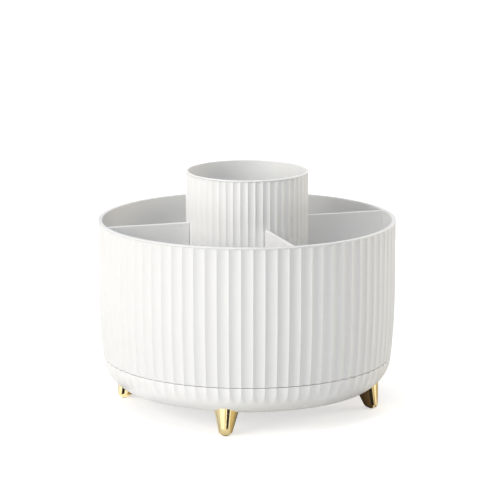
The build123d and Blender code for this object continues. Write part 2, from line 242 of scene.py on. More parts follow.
# Where edges are rubbed, from the sharpness at which it starts, on each kind of piece
RIDGE_RUB = {"Start": 0.53, "Full": 0.68, "Broken": 0.6, "Size": 60.0}
FOOT_RUB = {"Start": 0.52, "Full": 0.62, "Broken": 0.6, "Size": 400.0}
STEEL_RUB = {"Start": 0.53, "Full": 0.64, "Broken": 0.4, "Size": 300.0}
PAD_RUB = {"Start": 0.52, "Full": 0.6, "Broken": 0.7, "Size": 600.0}

# Hairline scratches, with their length and width in metres
PLASTIC_SCRATCHES = {"Length": 0.014, "Width": 0.00022, "Cover": 0.3}
GOLD_SCRATCHES = {"Length": 0.006, "Width": 0.00012, "Cover": 0.5}
STEEL_SCRATCHES = {"Length": 0.006, "Width": 0.00012, "Cover": 0.8}

# Smudges, dust and turning marks
PLASTIC_MARKS = {"Size": 38.0, "Cover": 0.2}
GOLD_MARKS = {"Size": 160.0, "Cover": 0.6}
STEEL_MARKS = {"Size": 120.0, "Cover": 0.4}
PLASTIC_DUST = {"Amount": 0.05, "Size": 55.0}
STEEL_RINGS = {"Spacing": 11000.0, "Wander": 1.5}

# Skin of the soft pads
PAD_SKIN = {
    "Colour": (0.075, 0.072, 0.07, 1.0),
    "Flow Colour": (0.11, 0.105, 0.10, 1.0),
    "Flow Size": 300.0,
    "Roughness": 0.75,
    "Roughness Drift": 0.1,
    "Grain Size": 3200.0,
}

# Cards that show only in the polished feet, as painted reflections and painted shade
FLAG_CENTRE = 88.0
FLAG_LEVEL = 0.2
FLAG_STEPS = 12
# Each card: its foot, the azimuths it spans, where it starts and ends, and its cloth.
# Feet and cloths are counted from nought
FLAGS = (
    (0, -60.0, 60.0, 0.5, 22.0, 3),
    (0, -176.0, -150.0, 5.0, 60.0, 1),
    (0, -125.0, -62.0, 5.0, 70.0, 3),
    (0, -14.0, -3.0, 22.0, 80.0, 2),
    (0, 5.0, 33.0, 22.0, 80.0, 0),
    (0, 41.0, 60.0, 22.0, 80.0, 2),
    (0, 60.0, 124.0, 5.0, 80.0, 2),
    (0, 126.0, 172.0, 5.0, 60.0, 0),
    (1, -175.0, 12.0, 0.5, 62.0, 1),
    (1, 12.0, 50.0, 9.0, 80.0, 0),
    (1, 12.0, 40.0, 0.5, 9.0, 1),
    (1, 56.0, 100.0, 0.5, 8.0, 1),
    (1, 54.0, 72.0, 8.0, 80.0, 2),
    (1, 100.0, 146.0, 5.0, 80.0, 2),
    (1, 150.0, 176.0, 5.0, 60.0, 1),
    (2, -162.0, -138.0, 12.0, 80.0, 0),
    (2, -130.0, -60.0, 6.0, 80.0, 2),
    (2, 100.0, 150.0, 1.0, 62.0, 1),
    (3, -178.0, -112.0, 5.0, 70.0, 3),
    (3, -56.0, -20.0, 9.0, 80.0, 0),
    (3, 18.0, 84.0, 5.0, 60.0, 2),
    (3, 84.0, 108.0, 5.0, 60.0, 1),
    (3, 108.0, 178.0, 3.0, 60.0, 0),
)

# Each cloth: its darker and lighter shade. Seen only in the feet, the black paints dark stripes,
# the brown paints shade, the tan paints a warm reflection and the grey paints a pale one
CLOTHS = {
    "black_cloth": ((0.004, 0.004, 0.004, 1.0), (0.012, 0.011, 0.01, 1.0)),
    "brown_cloth": ((0.15, 0.11, 0.09, 1.0), (0.21, 0.16, 0.13, 1.0)),
    "tan_cloth": ((0.72, 0.61, 0.38, 1.0), (0.78, 0.67, 0.44, 1.0)),
    "grey_cloth": ((0.80, 0.80, 0.80, 1.0), (0.86, 0.86, 0.86, 1.0)),
}

# Floor and surroundings. The floor's own glow is FLOOR_LIFT within FLOOR_NEAR metres of
# the axis, where the shadow falls, and grows to full white at FLOOR_FAR metres
WHITE = (1.0, 1.0, 1.0, 1.0)
FLOOR_PAPER = ((0.80, 0.80, 0.80, 1.0), (0.82, 0.82, 0.82, 1.0))
FLOOR_REACH = 30.0
FLOOR_LIFT = 0.54
FLOOR_NEAR = 0.16
FLOOR_FAR = 0.6
WORLD_LIGHT = 0.3
WORLD_SHADE = (0.95, 0.98, 1.0, 1.0)

# Each softbox: its name, place, width, power in watts, and colour
SOFTBOXES = (
    ("left_softbox", (-1.46, -1.32, 0.8), 1.2, 21.4, (1.0, 0.98, 0.935)),
    ("front_softbox", (0.3, -2.2, 1.0), 1.0, 1.6, (0.80, 0.90, 1.0)),
    ("top_softbox", (-0.3, -0.3, 2.3), 1.6, 23.0, (0.95, 0.98, 1.0)),
    ("warm_softbox", (-1.89, -0.33, 0.5), 0.8, 1.4, (1.0, 0.55, 0.25)),
    ("right_softbox", (1.9, 0.5, 0.6), 0.8, 10.8, (1.0, 0.87, 0.68)),
)
SOFTBOX_AIM_LEVEL = 0.09

# Camera, looking down at the axis, with its lens and sensor in millimetres
CAMERA_TILT = 11.5
CAMERA_DISTANCE = 1.953
CAMERA_AIM_LEVEL = 0.1188
CAMERA_LENS = 206.7
CAMERA_SHIFT = -0.0148
CAMERA_SENSOR = 36.0
CAMERA_NEAR = 0.01


def linked(name, mesh):
    """Object for a finished mesh, in the scene."""
    piece = bpy.data.objects.new(name, mesh)
    bpy.context.scene.collection.objects.link(piece)
    return piece


def finished(name, bm, sharp_angle=SHARP_ANGLE):
    """Smooth shaded object from a bmesh, kept sharp where faces turn hard."""
    bmesh.ops.recalc_face_normals(bm, faces=bm.faces)
    mesh = bpy.data.meshes.new(name)
    bm.to_mesh(mesh)
    bm.free()
    mesh.shade_smooth()
    mesh.set_sharp_from_angle(angle=math.radians(sharp_angle))
    return linked(name, mesh)


def rounded(corners):
    """Half section through (radius, level, rounding) corners.

    A long straight stretch gets a point close to each rounding that it meets, which
    keeps the shading of the rounding off the flat face.
    """
    points = []
    for index, (radius, level, ease) in enumerate(corners):
        here = Vector((radius, level))
        if ease <= 0:
            points.append((here, False))
            continue
        before = (Vector(corners[index - 1][:2]) - here).normalized()
        after = (Vector(corners[(index + 1) % len(corners)][:2]) - here).normalized()
        half = before.angle(after) / 2
        reach = ease / math.tan(half)
        centre = here + (before + after).normalized() * (ease / math.sin(half))
        first = here + before * reach - centre
        last = here + after * reach - centre
        turn = first.angle_signed(last)
        for step in range(ROUNDING_STEPS + 1):
            spoke = first.copy()
            spoke.rotate(Matrix.Rotation(-turn * step / ROUNDING_STEPS, 2))
            points.append((centre + spoke, True))
    guarded = [points[0][0]]
    for (start, start_bends), (end, end_bends) in zip(points, points[1:]):
        length = (end - start).length
        if length > LONG_STRETCH and start_bends:
            guarded.append(start.lerp(end, GUARD / length))
        if length > LONG_STRETCH and end_bends:
            guarded.append(end.lerp(start, GUARD / length))
        guarded.append(end)
    return guarded


def parting_ease(level):
    """How far the skin draws in at a level, to round both edges of the parting line."""
    near = min(abs(level - BASE_TOP), abs(level - DRUM_LOW))
    if near >= PARTING_EASE:
        return 0
    return PARTING_EASE - math.sqrt(PARTING_EASE**2 - (PARTING_EASE - near) ** 2)


def wall_path(level):
    """Radius of the line that the flutes follow, down the wall and onto the base."""
    if level >= SWEEP_LEVEL:
        return WALL_RADIUS
    drop = SWEEP_LEVEL - level
    if level >= RUNOUT_LEVEL:
        sweep = WALL_RADIUS - SWEEP_RADIUS + math.sqrt(SWEEP_RADIUS**2 - drop**2)
        return sweep - parting_ease(level)
    bend = math.asin((SWEEP_LEVEL - RUNOUT_LEVEL) / SWEEP_RADIUS)
    reach = SWEEP_RADIUS - RUNOUT_RADIUS
    centre_radius = WALL_RADIUS - SWEEP_RADIUS + reach * math.cos(bend)
    centre_level = SWEEP_LEVEL - reach * math.sin(bend)
    runout = math.sqrt(RUNOUT_RADIUS**2 - (centre_level - level) ** 2)
    return centre_radius + runout - parting_ease(level)


def hollowed(share, level, count, section, top, path):
    """Radius of the fluted skin at a share of a flute's pitch and a level.

    The flute is a hollow of a round section, cut so that neighbours meet in a ridge
    on the path. Under its top it runs in at a slope of one to one.
    """
    pitch = TAU / count
    ridge = path(top)
    half_width = ridge * math.sin(pitch / 2)
    offset = ridge * math.cos(pitch / 2) + math.sqrt(section**2 - half_width**2) - ridge
    across = (share - 0.5) * pitch
    centre = path(level) + offset
    chord = section**2 - (centre * math.sin(across)) ** 2
    radius = centre * math.cos(across) - math.sqrt(max(chord, 0))
    radius = max(radius, path(level) - (top - level))
    # The ridge is taken down a little, so that it isn't a knife edge
    if share in (0, 1):
        radius -= RIDGE_EASE
    return radius


def fluted(points, closed, azimuth, count, section, top, path):
    """Turned bmesh with a ring of hollow flutes down its outer skin.

    The sector of the flute at the azimuth is spun and pulled in, then repeated
    round the axis.
    """
    bm = bmesh.new()
    verts = [bm.verts.new((radius * MM, 0, level * MM)) for radius, level in points]
    pairs = list(zip(verts, verts[1:]))
    if closed:
        pairs.append((verts[-1], verts[0]))
    edges = [bm.edges.new(pair) for pair in pairs]
    pitch = TAU / count
    shares = (*FLUTE_STEPS, 1.0)
    axis = {"cent": (0, 0, 0), "axis": (0, 0, 1)}
    bmesh.ops.spin(bm, geom=verts + edges, angle=pitch, steps=len(FLUTE_STEPS), **axis)
    for vert in bm.verts:
        x, y, z = vert.co
        radius = math.hypot(x, y) / MM
        share = shares[round(abs(math.atan2(y, x)) / pitch * len(FLUTE_STEPS))]
        if z / MM < top and radius > 0:
            radius = min(radius, hollowed(share, z / MM, count, section, top, path))
        angle = math.radians(azimuth - 90) + (share - 0.5) * pitch
        vert.co = (radius * MM * math.cos(angle), radius * MM * math.sin(angle), z)
    sector = bm.verts[:] + bm.edges[:] + bm.faces[:]
    rest = TAU - pitch
    bmesh.ops.spin(bm, geom=sector, angle=rest, steps=count - 1, use_duplicate=True, **axis)
    bmesh.ops.remove_doubles(bm, verts=bm.verts, dist=1e-6)
    return bm


def steps_between(high, low, count):
    """Evenly spaced levels after high, down to and with low."""
    return [high + (low - high) * index / count for index in range(1, count + 1)]


def inner_skin(level, inset):
    """Radius of the drum wall's inner skin at a level."""
    if level >= SWEEP_LEVEL:
        return WALL_RADIUS - inset
    drop = SWEEP_LEVEL - level
    return WALL_RADIUS - SWEEP_RADIUS + math.sqrt((SWEEP_RADIUS - inset) ** 2 - drop**2)


def parting_rises():
    """Distances from the parting edge at which its rounding is cut, the nearest last."""
    quarter = math.pi / 2
    turns = [quarter * step / PARTING_STEPS for step in range(PARTING_STEPS + 1)]
    return [PARTING_EASE * (1 - math.sin(turn)) for turn in turns]


def flute_levels(top):
    """Levels close under the top of the flutes, where they run in at a slope."""
    return [top - drop for drop in FLUTE_RUN_IN]


def drum_piece():
    """Drum with its wall, floor, plinth and skirt."""
    inset = WALL_THICKNESS
    inside = [
        (0, PLINTH_LEVEL, 0),
        (PLINTH_RADIUS, PLINTH_LEVEL, PLINTH_ROUNDING),
        (PLINTH_RADIUS, DRUM_FLOOR, CORNER_EASE),
        (inner_skin(DRUM_FLOOR, inset), DRUM_FLOOR, FLOOR_ROUNDING),
    ]
    for level in reversed(steps_between(SWEEP_LEVEL, DRUM_FLOOR + FLOOR_CLEAR, INNER_SWEEP_ROWS)):
        inside.append((inner_skin(level, inset), level, 0))
    inside += [
        (WALL_RADIUS - inset, SWEEP_LEVEL, 0),
        (WALL_RADIUS - inset, RIM_LEVEL, LIP_ROUNDING),
        (LIP_RADIUS, RIM_LEVEL, LIP_ROUNDING),
        (LIP_RADIUS, LIP_LEVEL, LIP_UNDER_EASE),
        (WALL_RADIUS, LIP_LEVEL, 0),
    ]
    outside = [(WALL_RADIUS, level, 0) for level in flute_levels(FLUTE_TOP)]
    outside += [(WALL_RADIUS, level, 0) for level in WALL_LEVELS]
    for level in steps_between(SWEEP_LEVEL, DRUM_LOW + SKIRT_CLEAR, SWEEP_ROWS):
        outside.append((wall_path(level), level, 0))
    for rise in parting_rises():
        outside.append((wall_path(DRUM_LOW + rise), DRUM_LOW + rise, 0))
    bore = inner_skin(DRUM_LOW, inset)
    under = [
        (bore, DRUM_LOW, SKIRT_EASE),
        (bore, DRUM_UNDERFLOOR, CORNER_EASE),
        (BOSS_RADIUS, DRUM_UNDERFLOOR, CORNER_EASE),
        (BOSS_RADIUS, BOSS_LEVEL, EDGE_EASE),
        (THREAD_RADIUS, BOSS_LEVEL, 0),
        (THREAD_RADIUS, THREAD_LEVEL, 0),
        (0, THREAD_LEVEL, 0),
    ]
    points = rounded(inside + outside + under)
    bm = fluted(points, False, 0, FLUTES, FLUTE_SECTION, FLUTE_TOP, wall_path)
    return finished("drum_moulding", bm)


def cup_path(level):
    """Radius of the line that the cup's flutes follow, the same at every level."""
    return CUP_RADIUS


def cup_piece():
    """Centre cup with its own finer flutes."""
    corners = [
        (0, CUP_UNDERFLOOR, 0),
        (CUP_BORE, CUP_UNDERFLOOR, EDGE_EASE),
        (CUP_BORE, DRUM_FLOOR, EDGE_EASE),
        (CUP_RADIUS, DRUM_FLOOR, 0),
    ]
    corners += [(CUP_RADIUS, level, 0) for level in CUP_LEVELS]
    corners += [(CUP_RADIUS, level, 0) for level in reversed(flute_levels(CUP_FLUTE_TOP))]
    corners += [
        (CUP_RADIUS, CUP_LIP_LEVEL, 0),
        (CUP_LIP_RADIUS, CUP_LIP_LEVEL, CUP_LIP_UNDER_EASE),
        (CUP_LIP_RADIUS, CUP_TOP, LIP_ROUNDING),
        (CUP_BORE, CUP_TOP, LIP_ROUNDING),
        (CUP_BORE, CUP_FLOOR, CUP_FLOOR_ROUNDING),
        (0, CUP_FLOOR, 0),
    ]
    points = rounded(corners)
    bm = fluted(
        points,
        False,
        CUP_FLUTE_AZIMUTH,
        CUP_FLUTES,
        CUP_FLUTE_SECTION,
        CUP_FLUTE_TOP,
        cup_path,
    )
    return finished("cup_moulding", bm)


def place_at(azimuth):
    """Turn about the axis from the front round to an azimuth."""
    return Matrix.Rotation(math.radians(azimuth), 4, "Z")


def quarter_turns(first):
    """Four azimuths, a quarter turn apart."""
    return [first + 90.0 * index for index in range(4)]


def divider_piece(number, azimuth):
    """Upright panel between the cup and the drum wall, eased at its top and its cup side."""
    levels = [DIVIDER_LOW, DRUM_FLOOR + DIVIDER_GUARD]
    levels += reversed(steps_between(SWEEP_LEVEL, DIVIDER_SWEEP_LOW, DIVIDER_SWEEP_ROWS))
    levels += [SWEEP_LEVEL, DIVIDER_MIDDLE, DIVIDER_TOP - DIVIDER_GUARD, DIVIDER_TOP]
    rows = len(levels) - 1
    bm = bmesh.new()
    bmesh.ops.create_grid(bm, x_segments=DIVIDER_COLUMNS, y_segments=rows, size=0.5)
    for vert in bm.verts:
        level = levels[round((vert.co.y + 0.5) * rows)]
        wall = inner_skin(level, WALL_THICKNESS - DIVIDER_GROOVE)
        reaches = (
            DIVIDER_INNER,
            DIVIDER_INNER + DIVIDER_GUARD,
            wall - 2 * DIVIDER_GUARD,
            wall,
        )
        reach = reaches[round((vert.co.x + 0.5) * DIVIDER_COLUMNS)]
        vert.co = Vector((-DIVIDER_THICKNESS / 2, -reach, level)) * MM
    made = bmesh.ops.extrude_face_region(bm, geom=bm.faces[:])["geom"]
    moved = [part for part in made if isinstance(part, bmesh.types.BMVert)]
    bmesh.ops.translate(bm, vec=Vector((DIVIDER_THICKNESS, 0, 0)) * MM, verts=moved)
    near_top = (DIVIDER_TOP - 0.01) * MM
    near_cup = -(DIVIDER_INNER + 0.01) * MM
    sharp = [edge for edge in bm.edges if edge.calc_face_angle(0) > 1.0]
    corners = [
        edge
        for edge in sharp
        if all(vert.co.z > near_top for vert in edge.verts)
        or all(vert.co.y > near_cup for vert in edge.verts)
    ]
    bmesh.ops.bevel(
        bm,
        geom=corners,
        offset=DIVIDER_ROUNDING * MM,
        affect="EDGES",
        segments=DIVIDER_ROUNDING_STEPS,
        profile=0.5,
        material=-1,
    )
    bmesh.ops.rotate(bm, cent=(0, 0, 0), matrix=place_at(azimuth).to_3x3(), verts=bm.verts)
    return finished(f"divider_panel_{number}", bm)


def base_bends():
    """Centres of the two bends of the base ring and the angles they run through."""
    first = math.asin((SWEEP_LEVEL - BASE_TOP) / SWEEP_RADIUS)
    reach = SWEEP_RADIUS - BEND_RADIUS
    bend_radius = WALL_RADIUS - SWEEP_RADIUS + reach * math.cos(first)
    bend = (bend_radius, SWEEP_LEVEL - reach * math.sin(first))
    span = BEND_RADIUS - EDGE_RADIUS
    meeting = math.asin((bend[1] - EDGE_RADIUS - UNDERSIDE) / span)
    edge = (bend[0] + span * math.cos(meeting), bend[1] - span * math.sin(meeting))
    return bend, edge, first, meeting


def arc(centre, radius, first, last, count):
    """Corners along an arc of a half section, angles measured down from level."""
    angles = [first + (last - first) * index / count for index in range(count + 1)]
    return [(centre[0] + radius * math.cos(a), centre[1] - radius * math.sin(a), 0) for a in angles]


def base_piece():
    """Base ring, floor, upstand, support walls and hub."""
    bend, edge, first, meeting = base_bends()
    inner_bend = BEND_RADIUS - BASE_THICKNESS
    inner_edge = EDGE_RADIUS - BASE_THICKNESS
    root = math.asin((bend[1] - UPSTAND_ROOT) / inner_bend)
    upstand = inner_skin(DRUM_LOW, WALL_THICKNESS) - UPSTAND_GAP
    outside = arc(edge, EDGE_RADIUS, math.pi / 2, meeting, EDGE_STEPS)
    outside += arc(bend, BEND_RADIUS, meeting, first + BEND_START, BEND_STEPS)[1:]
    inside = [(wall_path(BASE_TOP - fall), BASE_TOP - fall, 0) for fall in parting_rises()]
    inside += [
        (upstand, BASE_TOP, EDGE_EASE),
        (upstand, BASE_TOP + UPSTAND_HEIGHT, CORNER_EASE),
        (upstand - UPSTAND_THICKNESS, BASE_TOP + UPSTAND_HEIGHT, CORNER_EASE),
        (upstand - UPSTAND_THICKNESS, UPSTAND_ROOT, 0),
    ]
    inside += arc(bend, inner_bend, root, meeting, INNER_BEND_STEPS)
    inside += arc(edge, inner_edge, meeting, math.pi / 2, INNER_EDGE_STEPS)[1:]
    floor = []
    for outer in SUPPORT_RADII:
        floor += [
            (outer, BASE_FLOOR, 0),
            (outer, SUPPORT_LEVEL, 0),
            (outer - SUPPORT_THICKNESS, SUPPORT_LEVEL, 0),
            (outer - SUPPORT_THICKNESS, BASE_FLOOR, 0),
        ]
    hub = [
        (HUB_RADIUS, BASE_FLOOR, 0),
        (HUB_RADIUS, HUB_LEVEL, CORNER_EASE),
        (BOLT_BORE, HUB_LEVEL, 0),
        (BOLT_BORE, BOLT_SEAT, 0),
        (BOLT_RECESS, BOLT_SEAT, 0),
        (BOLT_RECESS, UNDERSIDE, RECESS_ROUNDING),
    ]
    points = rounded(hub + outside + inside + floor)
    bm = fluted(points, True, 0, FLUTES, FLUTE_SECTION, FLUTE_TOP, wall_path)
    return finished("base_moulding", bm)


def rib_piece():
    """Ribs and screw bosses that stand inside the base."""
    bm = bmesh.new()
    length = RIB_END - RIB_START
    height = RIB_LEVEL - BASE_FLOOR + FLOOR_SINK
    middle = Vector((0, -(RIB_START + RIB_END) / 2, BASE_FLOOR - FLOOR_SINK + height / 2)) * MM
    for index in range(RIB_COUNT):
        made = bmesh.ops.create_cube(bm, size=1.0)["verts"]
        bmesh.ops.scale(bm, vec=Vector((RIB_THICKNESS, length, height)) * MM, verts=made)
        bmesh.ops.translate(bm, vec=middle, verts=made)
        ends = [v for v in made if v.co.y < middle.y and v.co.z < middle.z]
        bmesh.ops.translate(bm, vec=Vector((0, RIB_UNDERCUT, 0)) * MM, verts=ends)
        turn = place_at(RIB_AZIMUTH + 360.0 / RIB_COUNT * index).to_3x3()
        bmesh.ops.rotate(bm, cent=(0, 0, 0), matrix=turn, verts=made)
    for radius, reach, level, first in BOSS_RINGS:
        for azimuth in quarter_turns(first):
            depth = level - BASE_FLOOR + FLOOR_SINK
            made = bmesh.ops.create_cone(
                bm,
                cap_ends=True,
                segments=BOSS_SEGMENTS,
                radius1=radius * MM,
                radius2=radius * MM,
                depth=depth * MM,
            )["verts"]
            centre = Vector((0, -reach, level - depth / 2)) * MM
            bmesh.ops.translate(bm, vec=centre, verts=made)
            bmesh.ops.rotate(bm, cent=(0, 0, 0), matrix=place_at(azimuth).to_3x3(), verts=made)
    return finished("base_ribs", bm)


def base_skin(radius):
    """Level of the base's outer surface above a radius, near its lower edge."""
    edge = base_bends()[1]
    if radius <= edge[0]:
        return UNDERSIDE
    return edge[1] - math.sqrt(max(EDGE_RADIUS**2 - (radius - edge[0]) ** 2, 0))


def foot_axis(level):
    """Middle of a front foot at a level."""
    drop = (UNDERSIDE - level) * math.tan(math.radians(FOOT_SPLAY))
    return Vector((0, -(FOOT_TOP_RADIUS + drop), level)) * MM


def cut_round(bm, level, clear=False):
    """Cut a mesh all round at a level, and drop what is below it if asked to."""
    bmesh.ops.bisect_plane(
        bm,
        geom=bm.verts[:] + bm.edges[:] + bm.faces[:],
        dist=1e-7,
        plane_co=(0, 0, level * MM),
        plane_no=(0, 0, -1),
        clear_outer=clear,
    )


def foot_piece(number, azimuth):
    """Tapered foot, splayed outwards, with a rounded sole."""
    splay = math.radians(FOOT_SPLAY)
    taper = math.tan(math.radians(FOOT_TAPER))
    below = UNDERSIDE / math.cos(splay) + FOOT_BELOW
    bm = bmesh.new()
    bmesh.ops.create_cone(
        bm,
        cap_ends=True,
        segments=FOOT_SEGMENTS,
        radius1=(FOOT_HALF_WIDTH - below * taper) * MM,
        radius2=(FOOT_HALF_WIDTH + FOOT_ABOVE * taper) * MM,
        depth=(FOOT_ABOVE + below) * MM,
    )
    middle = Vector((0, 0, (FOOT_ABOVE - below) / 2)) * MM
    bmesh.ops.translate(bm, vec=middle, verts=bm.verts)
    # The foot leans outwards as it goes down
    lean = Matrix.Rotation(-splay, 3, "X")
    bmesh.ops.rotate(bm, cent=(0, 0, 0), matrix=lean, verts=bm.verts)
    bmesh.ops.translate(bm, vec=foot_axis(UNDERSIDE), verts=bm.verts)
    cut_round(bm, SOLE_LEVEL, clear=True)
    sole_edges = [e for e in bm.edges if e.is_boundary]
    bmesh.ops.edgeloop_fill(bm, edges=sole_edges)
    quarter = math.pi / 2
    for step in range(1, SOLE_STEPS + 1):
        rise = SOLE_ROUNDING * (1 - math.cos(quarter * step / SOLE_STEPS))
        cut_round(bm, SOLE_LEVEL + rise)
    for level in FOOT_LEVELS:
        cut_round(bm, level)
    # The sole is rounded over, by pulling its lowest rows in towards the foot's middle
    for vert in bm.verts:
        rise = vert.co.z / MM - SOLE_LEVEL
        if rise < SOLE_ROUNDING:
            slope = math.acos(min(1 - rise / SOLE_ROUNDING, 1))
            inward = SOLE_ROUNDING * (1 - math.sin(slope))
            spoke = vert.co - foot_axis(vert.co.z / MM)
            vert.co -= spoke.normalized() * inward * MM
    # The top follows the base's skin and lies just inside it
    for vert in bm.verts:
        ceiling = base_skin(math.hypot(vert.co.x, vert.co.y) / MM) + FOOT_BURY
        if vert.co.z / MM > ceiling:
            vert.co.z = ceiling * MM
    bmesh.ops.rotate(bm, cent=(0, 0, 0), matrix=place_at(azimuth).to_3x3(), verts=bm.verts)
    return finished(f"gold_foot_{number}", bm, FOOT_SHARP_ANGLE)


def add(tree, kind, inputs=None, **settings):
    """Add a shader node. An input is given a value, or the socket that feeds it."""
    made = tree.nodes.new("ShaderNode" + kind)
    for name, value in settings.items():
        setattr(made, name, value)
    for name, value in (inputs or {}).items():
        if isinstance(value, bpy.types.NodeSocket):
            tree.links.new(value, made.inputs[name])
        else:
            made.inputs[name].default_value = value
    return made


def sums(tree, operation, first, second):
    """Result of a sum on two values or sockets."""
    return add(tree, "Math", {0: first, 1: second}, operation=operation).outputs[0]


def spread(tree, value, low, high, to_low=0.0, to_high=1.0):
    """Value moved from one range to another, held inside it."""
    inputs = {"Value": value, "From Min": low, "From Max": high}
    inputs.update({"To Min": to_low, "To Max": to_high})
    return add(tree, "MapRange", inputs).outputs["Result"]


def tinted(tree, share, first, second):
    """Colour between two colours."""
    mix = add(tree, "Mix", {0: share, 6: first, 7: second}, data_type="RGBA")
    return mix.outputs[2]


def noise(tree, place, scale, detail):
    """Soft random values over the surface."""
    inputs = {"Vector": place, "Scale": scale, "Detail": detail}
    return add(tree, "TexNoise", inputs).outputs[0]


def effect(name, inputs, outputs):
    """Empty node group with named number or colour inputs and outputs."""
    group = bpy.data.node_groups.new(name, "ShaderNodeTree")
    for label, value in inputs.items():
        kind = "NodeSocketColor" if isinstance(value, tuple) else "NodeSocketFloat"
        socket = group.interface.new_socket(name=label, in_out="INPUT", socket_type=kind)
        socket.default_value = value
    for label, kind in outputs.items():
        group.interface.new_socket(name=label, in_out="OUTPUT", socket_type=kind)
    given = group.nodes.new("NodeGroupInput").outputs
    result = group.nodes.new("NodeGroupOutput").inputs
    place = add(group, "TexCoord").outputs["Object"]
    return group, given, result, place


def moulded_skin():
    """Shade, gloss and fine orange peel of a moulded plastic skin."""
    group, given, result, place = effect(
        "moulded_skin",
        {
            "Colour": (0.9, 0.9, 0.9, 1.0),
            "Flow Colour": (0.86, 0.86, 0.87, 1.0),
            "Flow Size": 22.0,
            "Roughness": 0.3,
            "Roughness Drift": 0.05,
            "Grain Size": 1400.0,
        },
        {"Colour": "NodeSocketColor", "Roughness": "NodeSocketFloat", "Height": "NodeSocketFloat"},
    )
    flow = noise(group, place, given["Flow Size"], 4.0)
    flow = spread(group, flow, 0.1, 0.9)
    shade = tinted(group, flow, given["Colour"], given["Flow Colour"])
    cloud = noise(group, place, sums(group, "MULTIPLY", given["Flow Size"], 5.0), 5.0)
    cloud = spread(group, cloud, 0.1, 0.9, -1.6, 1.6)
    gloss = sums(group, "MULTIPLY", cloud, given["Roughness Drift"])
    grain = noise(group, place, given["Grain Size"], 2.0)
    ripple = noise(group, place, sums(group, "MULTIPLY", given["Grain Size"], 0.12), 2.0)
    height = sums(group, "ADD", sums(group, "MULTIPLY", grain, 0.5), ripple)
    wire = group.links.new
    wire(shade, result["Colour"])
    wire(sums(group, "ADD", given["Roughness"], gloss), result["Roughness"])
    wire(height, result["Height"])
    return group


def rubbed_edges():
    """Mask of the ridges and rims that hands and cloths rub."""
    group, given, result, place = effect(
        "rubbed_edges",
        {"Start": 0.52, "Full": 0.6, "Broken": 0.5, "Size": 90.0},
        {"Mask": "NodeSocketFloat"},
    )
    edge = add(group, "NewGeometry").outputs["Pointiness"]
    edge = spread(group, edge, given["Start"], given["Full"])
    gaps = spread(group, noise(group, place, given["Size"], 4.0), 0.3, 0.7)
    gaps = sums(group, "MULTIPLY", gaps, given["Broken"])
    keep = sums(group, "SUBTRACT", 1.0, gaps)
    group.links.new(sums(group, "MULTIPLY", edge, keep), result["Mask"])
    return group


def settled_dust():
    """Mask of the fine dust that settles on faces turned upwards."""
    group, given, result, place = effect(
        "settled_dust", {"Amount": 0.2, "Size": 60.0}, {"Mask": "NodeSocketFloat"}
    )
    facing = add(group, "NewGeometry").outputs["Normal"]
    upward = add(group, "SeparateXYZ", {0: facing}).outputs["Z"]
    upward = spread(group, upward, 0.55, 0.98)
    patches = spread(group, noise(group, place, given["Size"], 6.0), 0.35, 0.7)
    specks = spread(group, noise(group, place, 2600.0, 1.0), 0.55, 0.75)
    lying = sums(group, "MULTIPLY", upward, sums(group, "ADD", patches, specks))
    group.links.new(sums(group, "MULTIPLY", lying, given["Amount"]), result["Mask"])
    return group


def fine_scratches():
    """Mask of short hairline scratches that lie several ways, as handling leaves them."""
    group, given, result, place = effect(
        "fine_scratches",
        {"Length": 0.012, "Width": 0.0002, "Cover": 0.5},
        {"Mask": "NodeSocketFloat"},
    )
    parts = {"X": given["Length"], "Y": given["Width"], "Z": given["Width"]}
    size = add(group, "CombineXYZ", parts).outputs[0]
    hairs = 0.0
    for turn in ((0.4, 0.5, 0.9), (-0.7, 0.3, 2.2), (1.1, -0.6, 1.5)):
        inputs = {"Vector": place, "Rotation": turn, "Scale": size}
        along = add(group, "Mapping", inputs, vector_type="TEXTURE").outputs[0]
        streak = spread(group, noise(group, along, 1.0, 0.0), 0.7, 0.78)
        hairs = sums(group, "MAXIMUM", streak, hairs)
    patches = spread(group, noise(group, place, 85.0, 2.0), 0.45, 0.6)
    lines = sums(group, "MULTIPLY", hairs, patches)
    group.links.new(sums(group, "MULTIPLY", lines, given["Cover"]), result["Mask"])
    return group


def finger_marks():
    """Mask of faint smudges left by handling."""
    group, given, result, place = effect(
        "finger_marks", {"Size": 45.0, "Cover": 0.5}, {"Mask": "NodeSocketFloat"}
    )
    patch = spread(group, noise(group, place, given["Size"], 2.0), 0.48, 0.62)
    ridge_inputs = {"Vector": place, "Scale": 420.0, "Distortion": 6.0, "Detail": 1.0}
    lines = add(group, "TexWave", ridge_inputs).outputs[1]
    lines = spread(group, lines, 0.2, 0.8, 0.6, 1.0)
    mark = sums(group, "MULTIPLY", patch, lines)
    group.links.new(sums(group, "MULTIPLY", mark, given["Cover"]), result["Mask"])
    return group


def turned_rings():
    """Height and mask of the fine rings that a lathe or press leaves round the axis."""
    group, given, result, place = effect(
        "turned_rings",
        {"Spacing": 9000.0, "Wander": 0.4},
        {"Mask": "NodeSocketFloat", "Height": "NodeSocketFloat"},
    )
    parts = add(group, "SeparateXYZ", {0: place}).outputs
    across = sums(group, "MULTIPLY", parts["X"], parts["X"])
    along = sums(group, "MULTIPLY", parts["Y"], parts["Y"])
    radius = sums(group, "SQRT", sums(group, "ADD", across, along), 0.0)
    drift = sums(group, "MULTIPLY", noise(group, place, 60.0, 3.0), given["Wander"])
    phase = sums(group, "ADD", sums(group, "MULTIPLY", radius, given["Spacing"]), drift)
    rings = spread(group, sums(group, "SINE", phase, 0.0), -1.0, 1.0)
    bands = noise(group, add(group, "CombineXYZ", {"X": radius}).outputs[0], 1500.0, 2.0)
    group.links.new(rings, result["Height"])
    group.links.new(sums(group, "MULTIPLY", rings, bands), result["Mask"])
    return group


EFFECTS = {
    make.__name__: make()
    for make in (
        moulded_skin,
        rubbed_edges,
        settled_dust,
        fine_scratches,
        finger_marks,
        turned_rings,
    )
}


